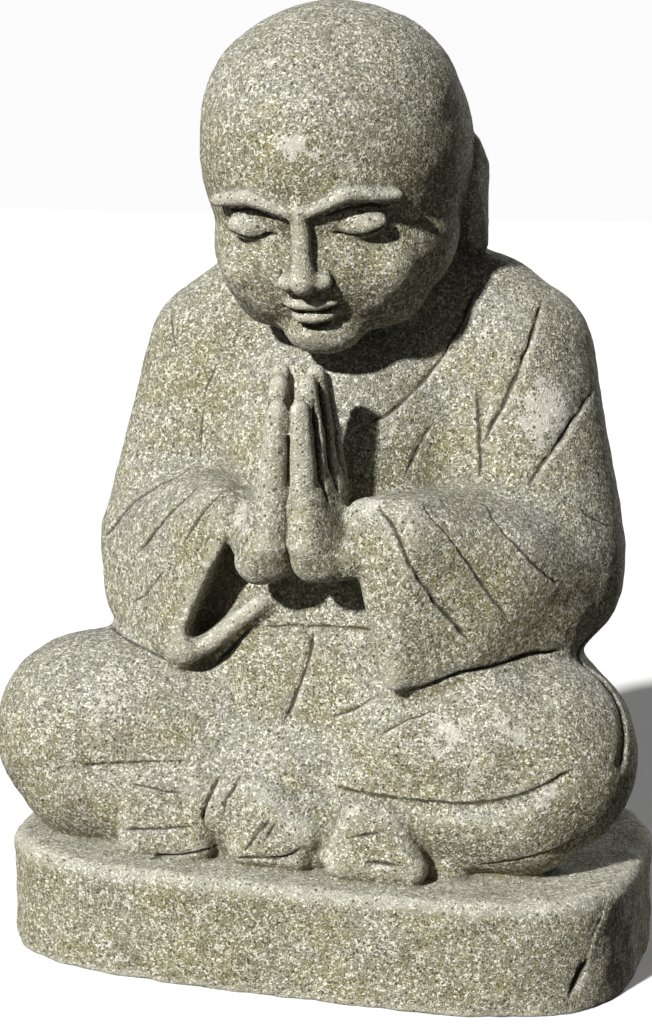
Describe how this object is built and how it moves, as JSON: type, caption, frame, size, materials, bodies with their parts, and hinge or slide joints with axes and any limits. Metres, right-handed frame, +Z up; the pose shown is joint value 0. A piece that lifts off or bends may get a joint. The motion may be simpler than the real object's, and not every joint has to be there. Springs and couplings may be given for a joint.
{
  "type": "monk statue",
  "caption": "Stone monk seated cross-legged with bowed head and palms pressed together, robed with hanging sleeves, on a low rounded plinth, carved as one block.",
  "frame": {"origin": "middle of the plinth's underside, under the middle of the object's box", "axes": "+Z up through the figure; the monk faces -Y, and its left hand is towards +X"},
  "size_m": [0.4206, 0.268, 0.5996],
  "materials": {
    "stone": "rough hand-carved volcanic stone, weathered, with pale lichen"
  },
  "bodies": {
    "root": {"monk_statue": "stone"}
  },
  "joints": []
}
